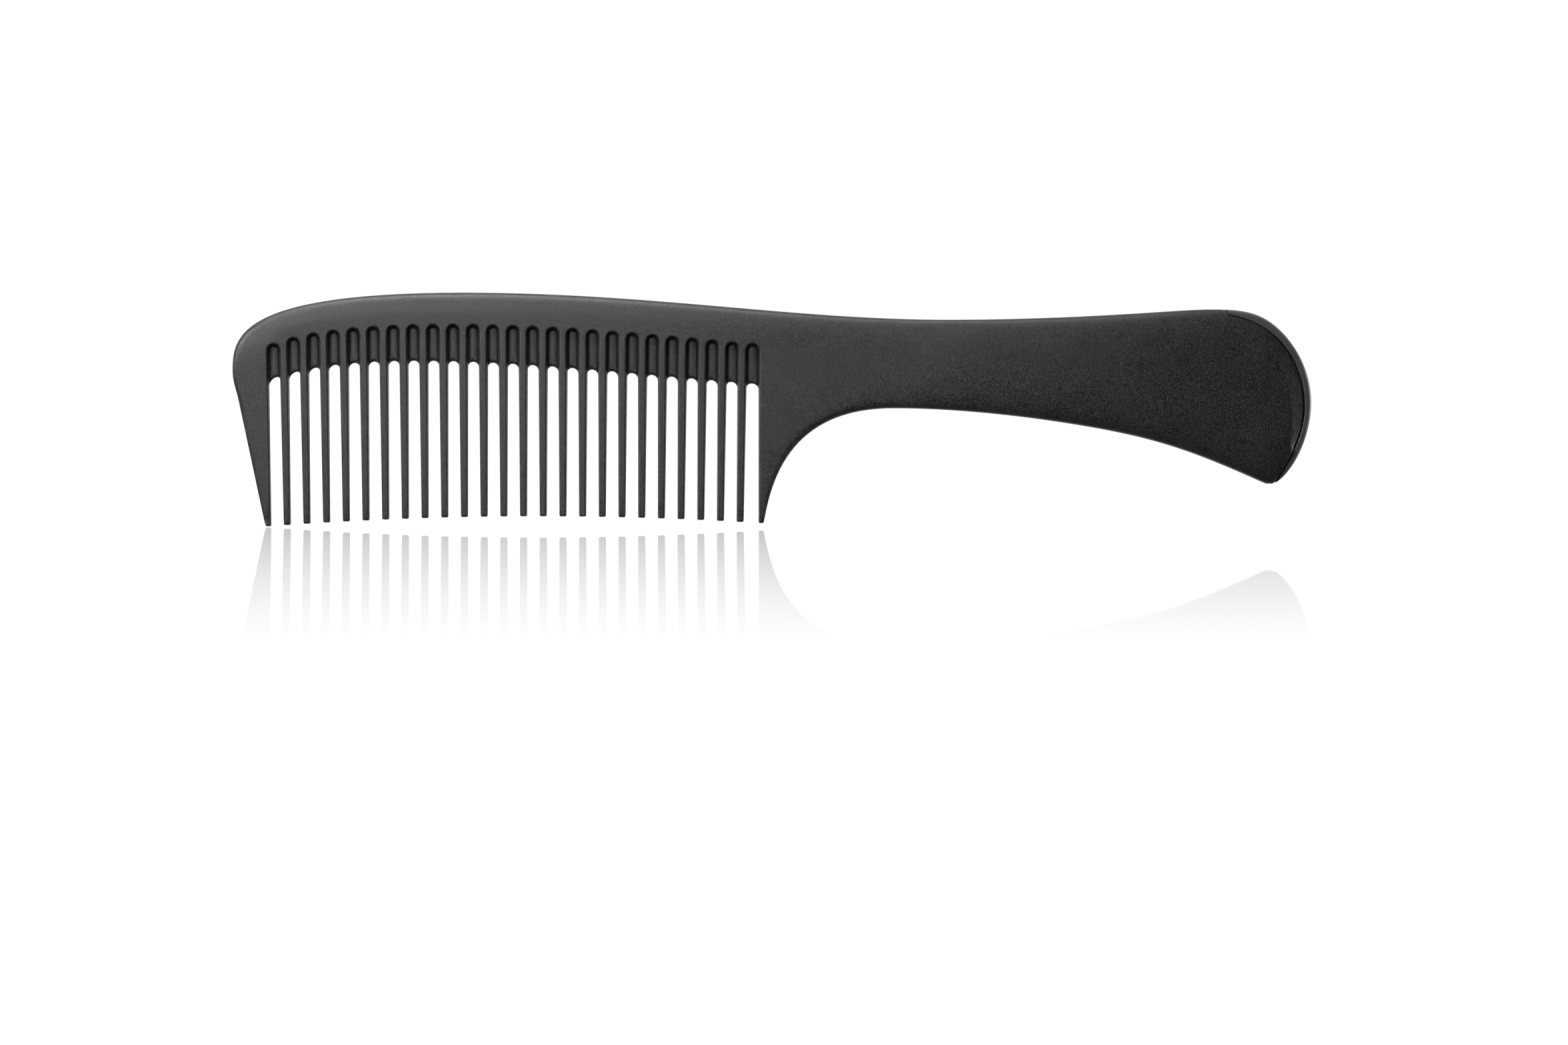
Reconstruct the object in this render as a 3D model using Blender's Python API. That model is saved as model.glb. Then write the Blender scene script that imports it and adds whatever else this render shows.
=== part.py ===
# Wide tooth comb with a grip handle, moulded in two halves about the plane y = 0, with a press-in end cap.
# Lengths are in millimetres in this file and become metres when a mesh is made. Within the comb's own
# frame x runs from the nose of the head towards the heel of the handle, z runs up from the longest tip,
# and y runs through the thickness, the front face looking towards -y.

import math

import bmesh
import bpy
import numpy as np

MM = 0.001

# Teeth.
TOOTH_COUNT = 24
ROOT_PITCH = 4.056
TIP_PITCH = 4.018
NOSE_TO_FIRST_ROOT = 10.63
NOSE_TO_FIRST_TIP = 11.13
TOOTH_ROOT_WIDTH = 1.9
TOOTH_TIP_WIDTH = 1.5
FLANK_DRAFT = 0.128
TOOTH_EDGE = 0.25
TIP_ROUND = 0.35
TIP_ARC_RADIUS = 740.0
TIP_ARC_PEAK = 2.04
TIP_ARC_CENTRE = 62.4

# Guard teeth at the two ends of the row.
FRONT_GUARD_ROOT = 7.5
FRONT_GUARD_TIP = 7.9
FRONT_GUARD_TIP_WIDTH = 1.23
FRONT_GUARD_KNEE = (1.2, 25.8)
GUARD_GAP = 2.42
REAR_GUARD_TIP_WIDTH = 1.1
REAR_GUARD_TIP_HEIGHT = 0.64
REAR_GUARD_LENGTH = 14.7

# Head: spine, web and pockets.
APEX_FROM_NOSE = 47.0
HEAD_HEIGHT = 47.8
NOSE_HEIGHT = 31.8
FRONT_WEB_DEPTH = 13.3
REAR_WEB_DEPTH = 15.3
FRONT_BAND_DEPTH = 6.1
REAR_BAND_DEPTH = 7.1
ARCH_RISE = 1.0
ROUND_OVER = 4.5
EDGE_SHARE = 0.35
SPINE_HALF_DEPTH = 2.6
TIP_HALF_DEPTH = 1.2
WEB_HALF_DEPTH = 0.7
POCKET_MOUTH = 2.8
POCKET_FLOOR = 1.9

# Handle.
HANDLE_LENGTH = 112.7
NECK_FROM_GUARD = 27.5
NECK_UNDERSIDE = 24.1
SADDLE_FROM_GUARD = 38.5
SADDLE_HEIGHT = 42.2
HEEL_TOP_FROM_END = 20.5
HEEL_TOP_HEIGHT = 44.3
SHOULDER_FROM_END = 9.85
SHOULDER_HEIGHT = 42.6
HEEL_HEIGHT = 25.2
BELLY_FROM_GUARD = 69.7
BELLY_HEIGHT = 19.9
TOE_FROM_END = 7.8
TOE_HEIGHT = 8.73
TOE_LENGTH = 1.9
HEEL_HALF_DEPTH = 4.2
HANDLE_EDGE_SHARE = 0.5
WALL = 1.8
CORE_FROM_GUARD = 24.0

# End cap and the joins.
RIM = 1.35
RIM_HALF_DEPTH = 3.0
HEEL_BEVEL = 2.9
BEVEL_FOOT_HEIGHT = 15.6
CAP_TOP_FROM_END = 17.0
CAP_TOP_STEP = 1.05
MOUTH_TOP = 39.5
MOUTH_WALL = 1.2
SPIGOT_LENGTH = 5.0
SPIGOT_WALL = 0.9
SPIGOT_CLEARANCE = 0.15
JOIN_GAP = 0.3

# Fineness of the curves.
ARC_STEPS = 6
EDGE_STRIDE = 3

guard_x = NOSE_TO_FIRST_ROOT + (TOOTH_COUNT - 1) * ROOT_PITCH + GUARD_GAP + TOOTH_ROOT_WIDTH / 2
length = guard_x + HANDLE_LENGTH
joint_x = guard_x + REAR_GUARD_LENGTH


def clear_scene():
    for item in list(bpy.data.objects):
        bpy.data.objects.remove(item, do_unlink=True)


def mix(a, b, share):
    return a + (b - a) * share


def smooth(share):
    share = min(max(share, 0.0), 1.0)
    return share * share * (3 - 2 * share)


def path(*nodes, steps=30):
    """Smooth run of points through nodes, each a place, a heading in degrees and its handles before and after.

    A handle is a share of the straight distance to the neighbouring node.
    """
    t = np.linspace(0, 1, steps + 1)[1:, None]
    points = [np.array([nodes[0][0]], float)]
    for (start, heading, _, reach), (end, last_heading, last_reach, _) in zip(nodes, nodes[1:]):
        p0, p3 = np.array(start, float), np.array(end, float)
        chord = np.linalg.norm(p3 - p0)
        a, b = math.radians(heading), math.radians(last_heading)
        p1 = p0 + np.array([math.cos(a), math.sin(a)]) * reach * chord
        p2 = p3 - np.array([math.cos(b), math.sin(b)]) * last_reach * chord
        points.append((1 - t) ** 3 * p0 + 3 * (1 - t) ** 2 * t * p1 + 3 * (1 - t) * t**2 * p2 + t**3 * p3)
    return np.vstack(points)


def read(curve, x):
    """Height of a curve whose points run along x."""
    return float(np.interp(x, curve[:, 0], curve[:, 1]))


nose = (0.0, NOSE_HEIGHT)
neck = (guard_x + NECK_FROM_GUARD, NECK_UNDERSIDE)
heel = (length, HEEL_HEIGHT)
toe = (length - TOE_FROM_END, TOE_HEIGHT)

# The silhouette in three runs: the crown from nose to heel, the underside from neck to heel, and the sweep
# from the rear guard's tip up to the neck.
crown_line = path(
    (nose, 90, 0, 0.137),
    ((APEX_FROM_NOSE, HEAD_HEIGHT), 0, 0.934, 0.387),
    ((guard_x + SADDLE_FROM_GUARD, SADDLE_HEIGHT), 0, 0.316, 0.517),
    ((length - HEEL_TOP_FROM_END, HEEL_TOP_HEIGHT), 0, 0.126, 0.408),
    ((length - SHOULDER_FROM_END, SHOULDER_HEIGHT), -27.3, 0.305, 0.263),
    (heel, -90, 0.413, 0),
)
bottom_line = path(
    (neck, 0, 0, 0.314),
    ((guard_x + BELLY_FROM_GUARD, BELLY_HEIGHT), -10.4, 0.318, 0.383),
    ((toe[0] - TOE_LENGTH, TOE_HEIGHT + 0.2), -24.1, 0.4, 0.365),
    (toe, 19.2, 0.4, 0.199),
    (heel, 90, 0.417, 0),
)
sweep_line = path(
    ((guard_x + REAR_GUARD_TIP_WIDTH, REAR_GUARD_TIP_HEIGHT), 80.4, 0, 0.248), (neck, 0, 0.6, 0)
)
knee_heading = -math.degrees(
    math.atan2(FRONT_GUARD_KNEE[1], FRONT_GUARD_TIP - FRONT_GUARD_TIP_WIDTH - FRONT_GUARD_KNEE[0])
)
guard_edge = path(
    (nose, -90, 0, 0.4),
    (FRONT_GUARD_KNEE, knee_heading, 0.4, 0.3),
    ((FRONT_GUARD_TIP - FRONT_GUARD_TIP_WIDTH, 0.0), knee_heading, 0.3, 0),
)

# The comb's left-hand edge, from the top of the spine round the nose and down to the front guard's tip.
left_run = np.vstack([crown_line[crown_line[:, 0] <= APEX_FROM_NOSE][::-1], guard_edge[1:]])


def left_edge(z):
    return float(np.interp(z, left_run[::-1, 1], left_run[::-1, 0]))


def half_depth(z):
    """Half thickness of the head and teeth: one flat taper from the spine down to the tips."""
    return mix(TIP_HALF_DEPTH, SPINE_HALF_DEPTH, z / HEAD_HEIGHT)


def row_share(x):
    """How far along the row of teeth x lies, from the front guard to the rear guard."""
    return min(max((x - FRONT_GUARD_ROOT) / (guard_x - FRONT_GUARD_ROOT), 0.0), 1.0)


def web_edge(x):
    return read(crown_line, x) - mix(FRONT_WEB_DEPTH, REAR_WEB_DEPTH, smooth(row_share(x) / 0.88))


def root_height(x):
    return web_edge(x) - ARCH_RISE


def root_x(index):
    return NOSE_TO_FIRST_ROOT + index * ROOT_PITCH


def tip_x(index):
    return NOSE_TO_FIRST_TIP + index * TIP_PITCH


def tip_height(x):
    return TIP_ARC_PEAK - (x - TIP_ARC_CENTRE) ** 2 / (2 * TIP_ARC_RADIUS)


front_root = root_height(FRONT_GUARD_ROOT)
rear_root = root_height(guard_x)


def make_material(name, colour, roughness):
    material = bpy.data.materials.new(name)
    material.use_nodes = True
    shader = material.node_tree.nodes["Principled BSDF"]
    shader.inputs["Base Color"].default_value = (*colour, 1)
    shader.inputs["Roughness"].default_value = roughness
    shader.inputs["Metallic"].default_value = 0.0
    return material


def add_object(name, bm, material, frame, sharp_degrees=30):
    """Turns a bmesh in millimetres into an object that hangs from the comb's frame."""
    bmesh.ops.recalc_face_normals(bm, faces=bm.faces)
    bmesh.ops.scale(bm, vec=(MM, MM, MM), verts=bm.verts)
    mesh = bpy.data.meshes.new(name)
    bm.to_mesh(mesh)
    bm.free()
    mesh.shade_smooth()
    mesh.set_sharp_from_angle(angle=math.radians(sharp_degrees))
    item = bpy.data.objects.new(name, mesh)
    item.parent = frame
    if material:
        mesh.materials.append(material)
    else:
        item.hide_render = True
        item.display_type = "WIRE"
    bpy.context.scene.collection.objects.link(item)
    return item


def add_loft(bm, rings):
    """Adds a closed solid through rings of equal point count, with a flat face on each end."""
    loops = [[bm.verts.new(point) for point in ring] for ring in rings]
    for lower, upper in zip(loops, loops[1:]):
        for here in range(len(lower)):
            after = (here + 1) % len(lower)
            bm.faces.new((lower[here], lower[after], upper[after], upper[here]))
    bm.faces.new(list(reversed(loops[0])))
    bm.faces.new(loops[-1])


def add_slab(bm, outline, y_low, y_high):
    """Adds a straight prism of an outline in the x-z plane, between two depths."""
    add_loft(bm, [[(x, y, z) for x, z in outline] for y in (y_low, y_high)])


def cut(item, cutter, operation="DIFFERENCE"):
    modifier = item.modifiers.new(cutter.name, "BOOLEAN")
    modifier.operation = operation
    modifier.object = cutter
    modifier.solver = "EXACT"


def tooth_ring(left, right, z, depth):
    """Section of a tooth: widest on the parting plane, drafted to both faces, with eased edges."""
    draft = FLANK_DRAFT * depth
    ease = min(TOOTH_EDGE, 0.2 * (right - left))
    front = [
        (left, 0),
        (left + draft, -(depth - ease)),
        (left + draft + ease, -depth),
        (right - draft - ease, -depth),
        (right - draft, -(depth - ease)),
        (right, 0),
    ]
    back = [(x, -y) for x, y in reversed(front[1:-1])]
    return [(x, y, z) for x, y in front + back]


def make_tooth(index, material, frame):
    """One tooth, built down from its root about its own centre line and leaned into place."""
    root = (root_x(index), root_height(root_x(index)))
    tip = (tip_x(index), tip_height(tip_x(index)))
    lean = math.atan2(tip[0] - root[0], root[1] - tip[1])
    reach = math.hypot(tip[0] - root[0], root[1] - tip[1])
    rings = []
    shoulder = JOIN_GAP + TOOTH_ROOT_WIDTH / 2 * abs(math.tan(lean))
    for drop in (reach, reach - TIP_ROUND, shoulder):
        share = drop / reach
        inset = TIP_ROUND if drop == reach else 0.0
        half = mix(TOOTH_ROOT_WIDTH, TOOTH_TIP_WIDTH, share) / 2 - inset
        depth = half_depth(mix(root[1], tip[1], share)) - inset
        rings.append(tooth_ring(-half, half, -drop, depth))
    bm = bmesh.new()
    add_loft(bm, rings)
    tooth = add_object(f"tooth_{index + 1:02d}", bm, material, frame)
    tooth.location = (root[0] * MM, 0, root[1] * MM)
    tooth.rotation_euler = (0, -lean, 0)
    return tooth


def make_front_guard(material, frame):
    top = front_root - JOIN_GAP
    heights = [0.0, TIP_ROUND, *np.linspace(top / 8, top, 8)]
    rings = []
    for z in heights:
        inset = TIP_ROUND if z == 0.0 else 0.0
        left = left_edge(z) + inset
        right = mix(FRONT_GUARD_TIP, FRONT_GUARD_ROOT, z / front_root) - inset
        rings.append(tooth_ring(left, right, z, half_depth(z) - inset))
    bm = bmesh.new()
    add_loft(bm, rings)
    return add_object("front_guard_tooth", bm, material, frame)


def sweep_reach(z):
    """Right-hand edge of the rear guard at a height: along the sweep, then down the join with the handle."""
    stop = joint_x - JOIN_GAP
    if z >= read(sweep_line, stop):
        return stop
    return min(float(np.interp(z, sweep_line[:, 1], sweep_line[:, 0])), stop)


def make_rear_guard(material, frame):
    top = rear_root - JOIN_GAP
    foot = REAR_GUARD_TIP_HEIGHT
    corner = read(sweep_line, joint_x - JOIN_GAP)
    heights = [foot, foot + TIP_ROUND, *(mix(foot, corner, math.sin(a)) for a in np.linspace(0.1, 1.5, 12))]
    rings = []
    for z in [*heights, corner, top]:
        inset = TIP_ROUND if z == foot else 0.0
        rings.append(tooth_ring(guard_x + inset, sweep_reach(z) - inset, z, half_depth(z) - inset))
    bm = bmesh.new()
    add_loft(bm, rings)
    return add_object("rear_guard_tooth", bm, material, frame)


def lower_outline():
    """Underside of the spine: a flat at each tooth's root and an arched web edge between the teeth."""
    flats = [(4.0, FRONT_GUARD_ROOT, front_root)]
    for index in range(TOOTH_COUNT):
        x = root_x(index)
        flats.append((x - TOOTH_ROOT_WIDTH / 2, x + TOOTH_ROOT_WIDTH / 2, root_height(x)))
    flats.append((guard_x, joint_x, rear_root))
    points = [(FRONT_GUARD_ROOT, front_root)]
    for before, after in zip(flats, flats[1:]):
        start, end = before[1], after[0]
        for step in range(1, ARC_STEPS):
            angle = math.pi * step / ARC_STEPS
            x = mix(start, end, (1 - math.cos(angle)) / 2)
            points.append((x, mix(before[2], after[2], step / ARC_STEPS) + ARCH_RISE * math.sin(angle)))
        points.append((end, after[2]))
        points.append((after[1], after[2]))
    return points


def spine_edge():
    """Outer edge of the spine, from the handle's join over the nose to the front guard, with inward normals."""
    crown = crown_line[(crown_line[:, 0] < joint_x) & (crown_line[:, 0] > APEX_FROM_NOSE)][::-1]
    left = left_run[left_run[:, 1] > front_root + 0.5]
    foot = (left_edge(front_root), front_root)
    start = (joint_x, read(crown_line, joint_x))
    points = np.vstack([start, crown[::EDGE_STRIDE], left[::EDGE_STRIDE], foot])
    run = np.gradient(points, axis=0)
    normals = np.stack([-run[:, 1], run[:, 0]], axis=1)
    normals /= np.linalg.norm(normals, axis=1)[:, None]
    normals[0] = (0, -1)
    normals[-1] = (1, 0)
    return points, normals


def make_spine(material, frame):
    """Spine with tooth roots: a drafted plate, rounded over along its back, with an arched lower edge."""
    bm = bmesh.new()
    points, normals = spine_edge()
    shares = (0.0, 0.08, 0.3, 1.0)
    rings = []
    for point, normal in zip(points, normals):
        section = []
        for share in shares:
            x, z = point + normal * ROUND_OVER * share
            curve = math.sqrt(1 - (1 - share) ** 2)
            section.append((x, -half_depth(z) * mix(EDGE_SHARE, 1.0, curve), z))
        section = section[::-1] + [(x, -y, z) for x, y, z in section]
        rings.append([bm.verts.new(place) for place in section])
    for here, after in zip(rings, rings[1:]):
        for a, b, c, d in zip(here, here[1:], after[1:], after):
            bm.faces.new((a, b, c, d))
    low = lower_outline()
    front = [rings[-1][0]] + [bm.verts.new((x, -half_depth(z), z)) for x, z in low]
    back = [rings[-1][-1]] + [bm.verts.new((x, half_depth(z), z)) for x, z in low]
    for a, b, c, d in zip(front, front[1:], back[1:], back):
        bm.faces.new((a, b, c, d))
    bm.faces.new(rings[-1])
    bm.faces.new([*rings[0], back[-1], front[-1]])
    bm.faces.new([ring[0] for ring in rings] + front[1:])
    bm.faces.new([ring[-1] for ring in rings] + back[1:])
    return add_object("spine", bm, material, frame)


def pocket_outline(centre, half, top, bottom):
    """U-shaped outline of one pocket: straight sides and a round top."""
    points = [(centre - half, bottom)]
    for step in range(ARC_STEPS + 1):
        angle = math.pi * (1 - step / ARC_STEPS)
        points.append((centre + half * math.cos(angle), top - half + half * math.sin(angle)))
    points.append((centre + half, bottom))
    return points


def make_pocket_cutter(frame):
    """Pockets between the tooth roots, sunk from both faces to the web, open at the bottom."""
    bm = bmesh.new()
    clear = SPINE_HALF_DEPTH + 1.0
    for slot in range(TOOTH_COUNT + 1):
        left = root_x(slot - 1) + TOOTH_ROOT_WIDTH / 2 if slot else FRONT_GUARD_ROOT
        right = root_x(slot) - TOOTH_ROOT_WIDTH / 2 if slot < TOOTH_COUNT else guard_x
        centre = (left + right) / 2
        top = read(crown_line, centre) - mix(FRONT_BAND_DEPTH, REAR_BAND_DEPTH, row_share(centre))
        bottom = root_height(centre) - 2.0
        reach = half_depth(top) - WEB_HALF_DEPTH
        slope = (POCKET_MOUTH - POCKET_FLOOR) / 2 / reach
        for side in (-1, 1):
            rings = []
            for depth in (WEB_HALF_DEPTH, clear):
                spread = slope * (depth - WEB_HALF_DEPTH)
                half = POCKET_FLOOR / 2 + spread
                shift = (POCKET_MOUTH - POCKET_FLOOR) / 2
                outline = pocket_outline(centre, half, top - shift + spread, bottom)
                rings.append([(x, side * depth, z) for x, z in outline])
            add_loft(bm, rings)
    return add_object("pocket_cutter", bm, None, frame)


def handle_top(x):
    return read(crown_line, x)


def handle_bottom(x):
    """Underside of the handle: the sweep up to the neck, then the underside to the toe and the heel."""
    return read(sweep_line, x) if x < neck[0] else read(bottom_line, x)


def grip_half(x):
    """Half thickness of the handle on its middle line, swelling from the head to the heel."""
    return mix(SPINE_HALF_DEPTH, HEEL_HALF_DEPTH, smooth((x - joint_x) / (length - HEEL_TOP_FROM_END - joint_x)))


def handle_depth(x, z):
    """Half thickness of the handle at a point: the spine's own section at the join, a crown further on."""
    low, high = handle_bottom(x), handle_top(x)
    share = (z - low) / max(high - low, 0.001)
    crown = mix(HANDLE_EDGE_SHARE, 1.0, math.sqrt(max(0.0, 1 - abs(2 * share - 1) ** 2.6))) * grip_half(x)
    over = min(max((high - z) / ROUND_OVER, 0.0), 1.0)
    plate = half_depth(z) * mix(EDGE_SHARE, 1.0, math.sqrt(1 - (1 - over) ** 2))
    return mix(plate, crown, smooth((x - joint_x) / NECK_FROM_GUARD))


section_shares = (0.0, 0.02, 0.07, 0.18, 0.35, 0.5, 0.65, 0.82, 0.93, 0.98, 1.0)


def handle_ring(x):
    """Closed section of the handle at x."""
    low, high = handle_bottom(x), handle_top(x)
    heights = [mix(low, high, share) for share in section_shares]
    front = [(x, -handle_depth(x, z), z) for z in heights]
    return front + [(x, -y, z) for x, y, z in reversed(front)]


def make_blank(name, material, frame):
    """Handle and cap as one solid, before they are divided."""
    body = np.linspace(joint_x, toe[0] - 1.0, 32)
    end = [mix(toe[0], length - 0.05, math.sin(a)) for a in np.linspace(0.0, math.pi / 2, 10)]
    bm = bmesh.new()
    add_loft(bm, [handle_ring(x) for x in [*body, *end]])
    return add_object(name, bm, material, frame)


core_shares = (0.0, 0.1, 0.3, 0.5, 0.7, 0.9, 1.0)


def core_ring(x, extra):
    """Section of the handle's hollow, or of what fits in it: inside the walls, and no larger than the mouth."""
    inner = min(x, length - CAP_TOP_FROM_END)
    narrowing = smooth((inner - length + CAP_TOP_FROM_END) / (2 * SPIGOT_LENGTH) + 1.5)
    low = handle_bottom(inner) + WALL + extra
    high = mix(handle_top(inner) - WALL, MOUTH_TOP, narrowing) - extra
    front = []
    for share in core_shares:
        z = mix(low, high, share)
        depth = min(handle_depth(inner, z) - WALL, RIM_HALF_DEPTH - MOUTH_WALL) - extra
        front.append((x, -max(depth, 0.2), z))
    return front + [(x, -y, z) for x, y, z in reversed(front)]


def make_core(name, frame, start, extra):
    """The handle's hollow, or what fits in it, run straight out through the mouth past the heel."""
    mouth = np.arange(length - CAP_TOP_FROM_END - SPIGOT_LENGTH, length + 2.0, 2.0)
    blind = np.linspace(start, mouth[0], 8)[:-1] if start < mouth[0] else []
    bm = bmesh.new()
    add_loft(bm, [core_ring(x, extra) for x in [*blind, *mouth]])
    return add_object(name, bm, None, frame)


def seam_line(shift=0.0):
    """Seam between handle and cap, following the heel one rim inside it, moved along x by a shift."""
    top = length - CAP_TOP_FROM_END
    foot = length - TOE_FROM_END + 0.6
    line = path(
        ((top, handle_top(top) - CAP_TOP_STEP), -8, 0, 0.4),
        ((length - RIM, HEEL_HEIGHT - 0.8), -90, 0.4, 0.35),
        ((foot, read(bottom_line, foot) - 0.1), -122, 0.3, 0),
        steps=10,
    )
    line[:, 0] += shift
    return line


def zone_outline(shift, reach):
    """Region on the heel's side of the seam, out to a reach past the comb's end."""
    line = seam_line(shift)
    above, below, out = HEAD_HEIGHT + 5, -5.0, length + reach
    return [(line[0, 0], above), *map(tuple, line), (line[-1, 0], below), (out, below), (out, above)]


def make_zone(name, frame, shift, reach):
    bm = bmesh.new()
    add_slab(bm, zone_outline(shift, reach), -HEEL_HALF_DEPTH - 5, HEEL_HALF_DEPTH + 5)
    return add_object(name, bm, None, frame)


def make_bevel_cutter(frame):
    """Crescent bevel at the handle's end, on both faces, down to the rim's own thickness."""
    line = seam_line()
    far = length + 5
    bm = bmesh.new()
    step = HEEL_HALF_DEPTH - RIM_HALF_DEPTH
    top = HEEL_HALF_DEPTH + 2.0
    run = np.gradient(line, axis=0)
    inward = np.stack([run[:, 1], -run[:, 0]], axis=1)
    inward /= np.linalg.norm(inward, axis=1)[:, None]
    share = np.clip((line[0, 1] - line[:, 1]) / (line[0, 1] - BEVEL_FOOT_HEIGHT), 0.001, 0.999)
    width = HEEL_BEVEL * np.sqrt(np.sin(math.pi * share))
    for side in (-1, 1):
        rings = []
        for depth in (RIM_HALF_DEPTH, top):
            edge = line + inward * width[:, None] * (depth - RIM_HALF_DEPTH) / step
            outline = [*map(tuple, edge), (line[-1, 0], -5.0), (far, -5.0), (far, HEAD_HEIGHT + 5)]
            outline.append((line[0, 0], HEAD_HEIGHT + 5))
            rings.append([(x, side * depth, z) for x, z in outline])
        add_loft(bm, rings)
    return add_object("bevel_cutter", bm, None, frame)


def make_handle_and_cap(material, cap_material, frame):
    """Hollow handle, open at the heel, and the cap that closes it with a spigot inside the hollow."""
    bevel = make_bevel_cutter(frame)
    handle = make_blank("handle", material, frame)
    cut(handle, bevel)
    cut(handle, make_core("core_cutter", frame, guard_x + CORE_FROM_GUARD, 0.0))
    cut(handle, make_zone("seam_cutter", frame, -JOIN_GAP, 10.0))

    cap = make_blank("end_cap", cap_material, frame)
    cut(cap, bevel)
    cut(cap, make_zone("cap_cutter", frame, 0.0, 10.0), "INTERSECT")
    spigot = make_core("spigot_shape", frame, length, SPIGOT_CLEARANCE)
    cut(spigot, make_zone("spigot_end_cutter", frame, -SPIGOT_LENGTH, 10.0), "INTERSECT")
    cut(spigot, make_zone("spigot_root_cutter", frame, RIM / 2, 12.0))
    cut(cap, spigot, "UNION")
    hollow = make_core("hollow_shape", frame, length, SPIGOT_CLEARANCE + SPIGOT_WALL)
    cut(hollow, make_zone("hollow_end_cutter", frame, -JOIN_GAP, 12.0))
    cut(cap, hollow)
    return handle, cap


def main():
    clear_scene()
    frame = bpy.data.objects.new("comb_frame", None)
    frame.location = (-length / 2 * MM, 0, 0)
    bpy.context.scene.collection.objects.link(frame)
    grained = make_material("grained_plastic", (0.03, 0.03, 0.031), 0.6)
    smooth_plastic = make_material("smooth_plastic", (0.035, 0.035, 0.036), 0.4)

    spine = make_spine(grained, frame)
    cut(spine, make_pocket_cutter(frame))
    make_front_guard(grained, frame)
    for index in range(TOOTH_COUNT):
        make_tooth(index, grained, frame)
    make_rear_guard(grained, frame)
    make_handle_and_cap(grained, smooth_plastic, frame)


main()
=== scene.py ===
import math

import bpy
import numpy as np
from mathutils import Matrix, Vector
from mathutils.geometry import delaunay_2d_cdt


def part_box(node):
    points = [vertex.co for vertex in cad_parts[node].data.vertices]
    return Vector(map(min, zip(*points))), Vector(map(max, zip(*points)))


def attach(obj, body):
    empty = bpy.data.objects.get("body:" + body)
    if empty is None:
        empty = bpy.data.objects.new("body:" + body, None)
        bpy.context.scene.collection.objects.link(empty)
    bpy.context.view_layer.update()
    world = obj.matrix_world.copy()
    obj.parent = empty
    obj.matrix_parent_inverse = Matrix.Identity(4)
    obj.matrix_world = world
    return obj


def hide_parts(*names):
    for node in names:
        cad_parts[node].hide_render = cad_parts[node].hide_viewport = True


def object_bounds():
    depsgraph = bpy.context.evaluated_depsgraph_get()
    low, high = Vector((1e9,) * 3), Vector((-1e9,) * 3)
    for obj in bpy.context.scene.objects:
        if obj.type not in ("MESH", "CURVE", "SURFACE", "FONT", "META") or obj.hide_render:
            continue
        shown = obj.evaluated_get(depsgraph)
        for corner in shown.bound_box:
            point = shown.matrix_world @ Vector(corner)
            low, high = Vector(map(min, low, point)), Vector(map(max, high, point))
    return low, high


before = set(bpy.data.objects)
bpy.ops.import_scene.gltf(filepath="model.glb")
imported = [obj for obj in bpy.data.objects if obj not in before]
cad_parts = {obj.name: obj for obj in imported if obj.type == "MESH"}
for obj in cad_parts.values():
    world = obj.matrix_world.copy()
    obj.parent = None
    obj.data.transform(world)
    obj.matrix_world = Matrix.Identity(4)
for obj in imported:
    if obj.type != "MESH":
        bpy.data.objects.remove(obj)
cadLow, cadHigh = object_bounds()
bpy.ops.object.select_all(action="DESELECT")
print("frame loaded:", len(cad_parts), "nodes")

# Working units are millimetres. x runs from the nose to the heel and z up from the floor. The front looks
# towards -y.
noseX = cadLow.x
perMetre = 1000


def nodeBox(name):
    # a node's lowest and highest corners in working units
    return [((c.x - noseX) * perMetre, c.y * perMetre, c.z * perMetre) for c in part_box(name)]


spineBox, handleBox = nodeBox("spine"), nodeBox("handle")
frontBox, rearBox = nodeBox("front_guard_tooth"), nodeBox("rear_guard_tooth")
combLength = (cadHigh.x - cadLow.x) * perMetre
headHeight = spineBox[1][2]
guardX, joinX = rearBox[0][0], handleBox[0][0]
toothNames = sorted(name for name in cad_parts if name.startswith("tooth_"))


def mix(a, b, share):
    return a + (b - a) * share


def smooth(share):
    share = np.clip(share, 0.0, 1.0)
    return share * share * (3 - 2 * share)


def roundOver(share):
    return np.sqrt(np.clip(1 - (1 - np.clip(share, 0.0, 1.0)) ** 2, 0.0, 1.0))


# A smooth run through nodes. Each is a place, a heading in degrees, and two handles as shares of the chord.
def smoothRun(*nodes, steps=36):
    t = np.linspace(0, 1, steps + 1)[1:, None]
    points = [np.array([nodes[0][0]], float)]
    for (start, heading, _, reach), (end, lastHeading, lastReach, _) in zip(nodes, nodes[1:]):
        p0, p3 = np.array(start, float), np.array(end, float)
        chord = np.linalg.norm(p3 - p0)
        a, b = math.radians(heading), math.radians(lastHeading)
        p1 = p0 + np.array([math.cos(a), math.sin(a)]) * reach * chord
        p2 = p3 - np.array([math.cos(b), math.sin(b)]) * lastReach * chord
        points.append((1 - t) ** 3 * p0 + 3 * (1 - t) ** 2 * t * p1 + 3 * (1 - t) * t**2 * p2 + t**3 * p3)
    return np.vstack(points)


def lengthsAlong(run):
    return np.concatenate([[0], np.cumsum(np.linalg.norm(np.diff(run, axis=0), axis=1))])


def resampled(run, count):
    # the same run with a number of points spread evenly along it
    along = lengthsAlong(run)
    at = np.linspace(0, along[-1], count)
    return np.stack([np.interp(at, along, run[:, 0]), np.interp(at, along, run[:, 1])], axis=1)


def evenly(run, stride):
    # the same run with points about one stride apart
    return resampled(run, max(2, int(round(lengthsAlong(run)[-1] / stride))) + 1)


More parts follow.
